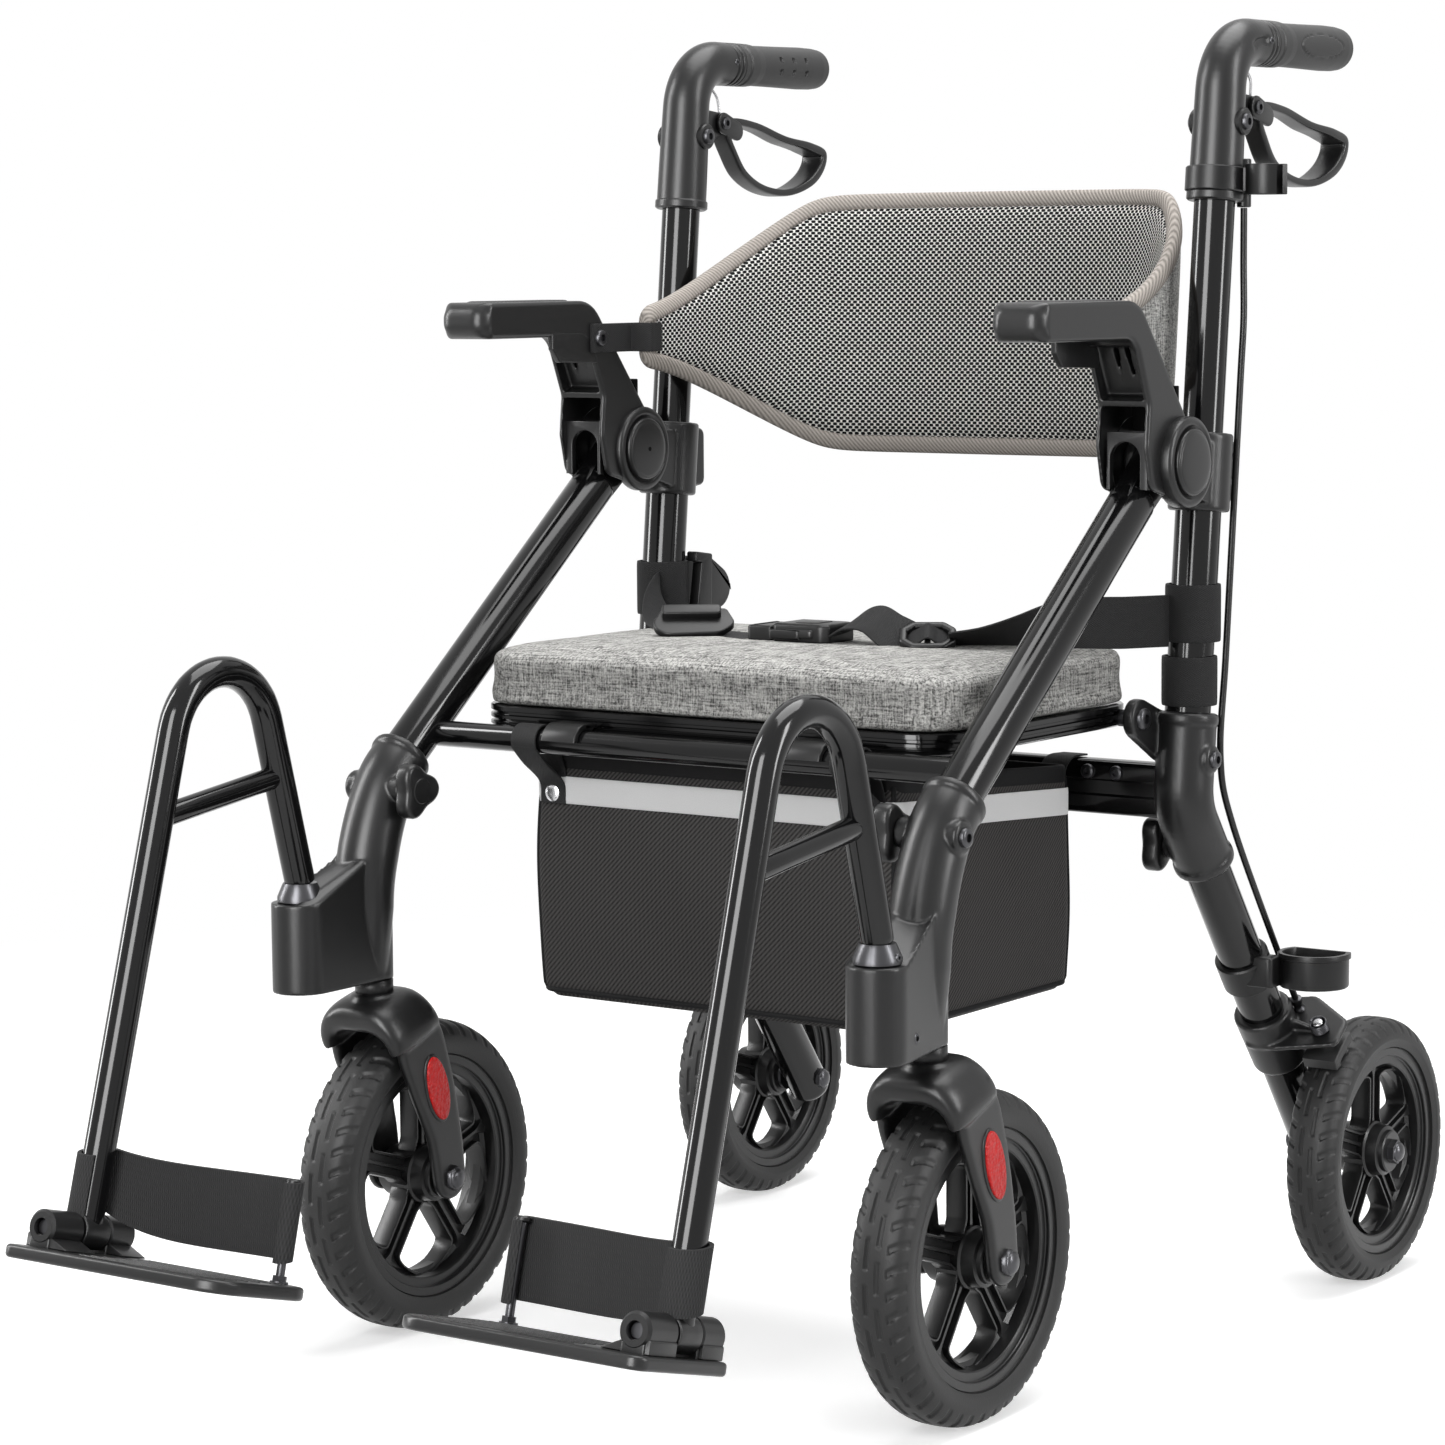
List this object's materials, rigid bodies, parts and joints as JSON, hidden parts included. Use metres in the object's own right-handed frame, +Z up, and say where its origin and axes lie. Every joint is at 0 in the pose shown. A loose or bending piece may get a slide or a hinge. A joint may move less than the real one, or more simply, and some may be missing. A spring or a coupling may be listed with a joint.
{
  "type": "rollator walker",
  "caption": "Folding wheeled walker with padded seat, armrests, curved backrest, brake handles, swing-away footrests, lap belt, under-seat bag and cane holder.",
  "frame": {"origin": "on the floor, in the middle of the walker's footprint", "axes": "+X across the walker to the right as seen in the picture, +Y from the footrests to the handles, +Z up"},
  "size_m": [0.6248, 1.022, 0.9575],
  "materials": {
    "gloss_black": "gloss",
    "gunmetal": "gloss",
    "charcoal_plastic": "matte",
    "rubber": "matte",
    "tyre": "matte",
    "cable": "satin",
    "webbing": "woven",
    "linen": "woven",
    "spacer_mesh": "open mesh",
    "bag_cloth": "woven"
  },
  "bodies": {
    "rear_frame": {"upright_right": "gloss_black", "upright_left": "gloss_black", "rear_joint_right": "charcoal_plastic", "rear_joint_left": "charcoal_plastic", "rear_leg_right": "gloss_black", "rear_leg_left": "gloss_black", "arm_bracket_right": "charcoal_plastic", "arm_bracket_left": "charcoal_plastic", "brake_housing_right": "charcoal_plastic", "brake_housing_left": "charcoal_plastic", "brake_cable_right": "cable", "brake_cable_left": "cable", "rear_cross_beam": "charcoal_plastic", "cable_strap": "webbing", "cane_cup": "charcoal_plastic", "bag": "bag_cloth", "belt_right": "webbing", "belt_left": "webbing", "belt_buckle": "charcoal_plastic"},
    "front_frame": {"front_tube_right": "gloss_black", "front_tube_left": "gloss_black", "front_joint_right": "charcoal_plastic", "front_joint_left": "charcoal_plastic", "front_cross_tube": "gloss_black"},
    "arms": {"armrest_right": "charcoal_plastic", "armrest_left": "charcoal_plastic", "backrest_pad": "spacer_mesh"},
    "seat": {"seat_frame": "charcoal_plastic", "seat_cushion": "linen"},
    "handle_right": {"handle_tube_right": "gloss_black", "handle_right": "charcoal_plastic", "grip_right": "rubber", "cane_clip": "charcoal_plastic"},
    "brake_lever_right": {"brake_lever_right": "charcoal_plastic"},
    "brake_shoe_right": {"brake_shoe_right": "rubber"},
    "caster_right": {"caster_fork_right": "charcoal_plastic"},
    "front_wheel_right": {"front_wheel_right": "charcoal_plastic", "front_tyre_right": "tyre"},
    "rear_wheel_right": {"rear_wheel_right": "charcoal_plastic", "rear_tyre_right": "tyre"},
    "footrest_right": {"footrest_bar_right": "gunmetal", "heel_strap_right": "webbing"},
    "foot_plate_right": {"foot_plate_right": "charcoal_plastic"},
    "front_knob_right": {"front_knob_right": "charcoal_plastic"},
    "rear_knob_right": {"rear_knob_right": "charcoal_plastic"},
    "handle_left": {"handle_tube_left": "gloss_black", "handle_left": "charcoal_plastic", "grip_left": "rubber"},
    "brake_lever_left": {"brake_lever_left": "charcoal_plastic"},
    "brake_shoe_left": {"brake_shoe_left": "rubber"},
    "caster_left": {"caster_fork_left": "charcoal_plastic"},
    "front_wheel_left": {"front_wheel_left": "charcoal_plastic", "front_tyre_left": "tyre"},
    "rear_wheel_left": {"rear_wheel_left": "charcoal_plastic", "rear_tyre_left": "tyre"},
    "footrest_left": {"footrest_bar_left": "gunmetal", "heel_strap_left": "webbing"},
    "foot_plate_left": {"foot_plate_left": "charcoal_plastic"},
    "front_knob_left": {"front_knob_left": "charcoal_plastic"},
    "rear_knob_left": {"rear_knob_left": "charcoal_plastic"}
  },
  "joints": [
    {"name": "front_fold", "type": "hinge", "parent": "rear_frame", "child": "front_frame", "pos_m": [0, 0.15626, 0.64], "axis": [1, 0, 0], "range_deg": [0, 25], "deforming": ["bag"]},
    {"name": "arm_lift", "type": "hinge", "parent": "rear_frame", "child": "arms", "pos_m": [0, 0.15626, 0.64], "axis": [-1, 0, 0], "range_deg": [0, 30]},
    {"name": "seat_flip", "type": "hinge", "parent": "rear_frame", "child": "seat", "pos_m": [0, 0.16486, 0.4535], "axis": [-1, 0, 0], "range_deg": [0, 60], "deforming": ["belt_right", "belt_left", "belt_buckle"]},
    {"name": "handle_height_right", "type": "slide", "parent": "rear_frame", "child": "handle_right", "axis": [0, 0.0993, 0.9951], "range_m": [-0.1, 0.02], "deforming": ["brake_cable_right"]},
    {"name": "brake_squeeze_right", "type": "hinge", "parent": "handle_right", "child": "brake_lever_right", "pos_m": [0.238, 0.29086, 0.893], "axis": [1, 0, 0], "range_deg": [0, 15], "stiffness_Nm_per_rad": 4},
    {"name": "brake_press_right", "type": "slide", "parent": "rear_frame", "child": "brake_shoe_right", "axis": [0, 0.5941, -0.8044], "range_m": [0, 0.0025]},
    {"name": "caster_swivel_right", "type": "hinge", "parent": "front_frame", "child": "caster_right", "pos_m": [0.238, -0.15014, 0.2618], "axis": [0, 0, 1], "continuous": true},
    {"name": "front_wheel_roll_right", "type": "hinge", "parent": "caster_right", "child": "front_wheel_right", "pos_m": [0.238, -0.10514, 0.115], "axis": [1, 0, 0], "continuous": true},
    {"name": "rear_wheel_roll_right", "type": "hinge", "parent": "rear_frame", "child": "rear_wheel_right", "pos_m": [0.2823, 0.4094, 0.1016], "axis": [1, 0, 0], "continuous": true},
    {"name": "footrest_swing_right", "type": "hinge", "parent": "front_frame", "child": "footrest_right", "pos_m": [0.2455, -0.22114, 0.332], "axis": [0, 0, 1], "range_deg": [0, 90]},
    {"name": "foot_plate_flip_right", "type": "hinge", "parent": "footrest_right", "child": "foot_plate_right", "pos_m": [0.2455, -0.44714, 0.137], "axis": [0, 0.9659, -0.2588], "range_deg": [0, 60], "deforming": ["heel_strap_right"]},
    {"name": "front_knob_turn_right", "type": "hinge", "parent": "front_frame", "child": "front_knob_right", "pos_m": [0.238, -0.14063, 0.40604], "axis": [1, 0, 0], "range_deg": [-180, 0]},
    {"name": "rear_knob_turn_right", "type": "hinge", "parent": "rear_frame", "child": "rear_knob_right", "pos_m": [0.238, 0.22223, 0.35502], "axis": [1, 0, 0], "range_deg": [-180, 0]},
    {"name": "handle_height_left", "type": "slide", "parent": "rear_frame", "child": "handle_left", "axis": [0, 0.0993, 0.9951], "range_m": [-0.1, 0.02], "deforming": ["brake_cable_left"]},
    {"name": "brake_squeeze_left", "type": "hinge", "parent": "handle_left", "child": "brake_lever_left", "pos_m": [-0.238, 0.29086, 0.893], "axis": [1, 0, 0], "range_deg": [0, 15], "stiffness_Nm_per_rad": 4},
    {"name": "brake_press_left", "type": "slide", "parent": "rear_frame", "child": "brake_shoe_left", "axis": [0, 0.5941, -0.8044], "range_m": [0, 0.0025]},
    {"name": "caster_swivel_left", "type": "hinge", "parent": "front_frame", "child": "caster_left", "pos_m": [-0.238, -0.15014, 0.2618], "axis": [0, 0, 1], "continuous": true},
    {"name": "front_wheel_roll_left", "type": "hinge", "parent": "caster_left", "child": "front_wheel_left", "pos_m": [-0.238, -0.10514, 0.115], "axis": [1, 0, 0], "continuous": true},
    {"name": "rear_wheel_roll_left", "type": "hinge", "parent": "rear_frame", "child": "rear_wheel_left", "pos_m": [-0.2823, 0.4094, 0.1016], "axis": [1, 0, 0], "continuous": true},
    {"name": "footrest_swing_left", "type": "hinge", "parent": "front_frame", "child": "footrest_left", "pos_m": [-0.2455, -0.22114, 0.332], "axis": [0, 0, -1], "range_deg": [0, 90]},
    {"name": "foot_plate_flip_left", "type": "hinge", "parent": "footrest_left", "child": "foot_plate_left", "pos_m": [-0.2455, -0.44714, 0.137], "axis": [0, -0.9659, 0.2588], "range_deg": [0, 60], "deforming": ["heel_strap_left"]},
    {"name": "front_knob_turn_left", "type": "hinge", "parent": "front_frame", "child": "front_knob_left", "pos_m": [-0.238, -0.14063, 0.40604], "axis": [-1, 0, 0], "range_deg": [-180, 0]},
    {"name": "rear_knob_turn_left", "type": "hinge", "parent": "rear_frame", "child": "rear_knob_left", "pos_m": [-0.238, 0.22223, 0.35502], "axis": [-1, 0, 0], "range_deg": [-180, 0]}
  ],
  "couplings": [
    {"joint": "brake_press_right", "follows": "brake_squeeze_right", "m_per_rad": 0.0095483},
    {"joint": "brake_press_left", "follows": "brake_squeeze_left", "m_per_rad": 0.0095483}
  ]
}
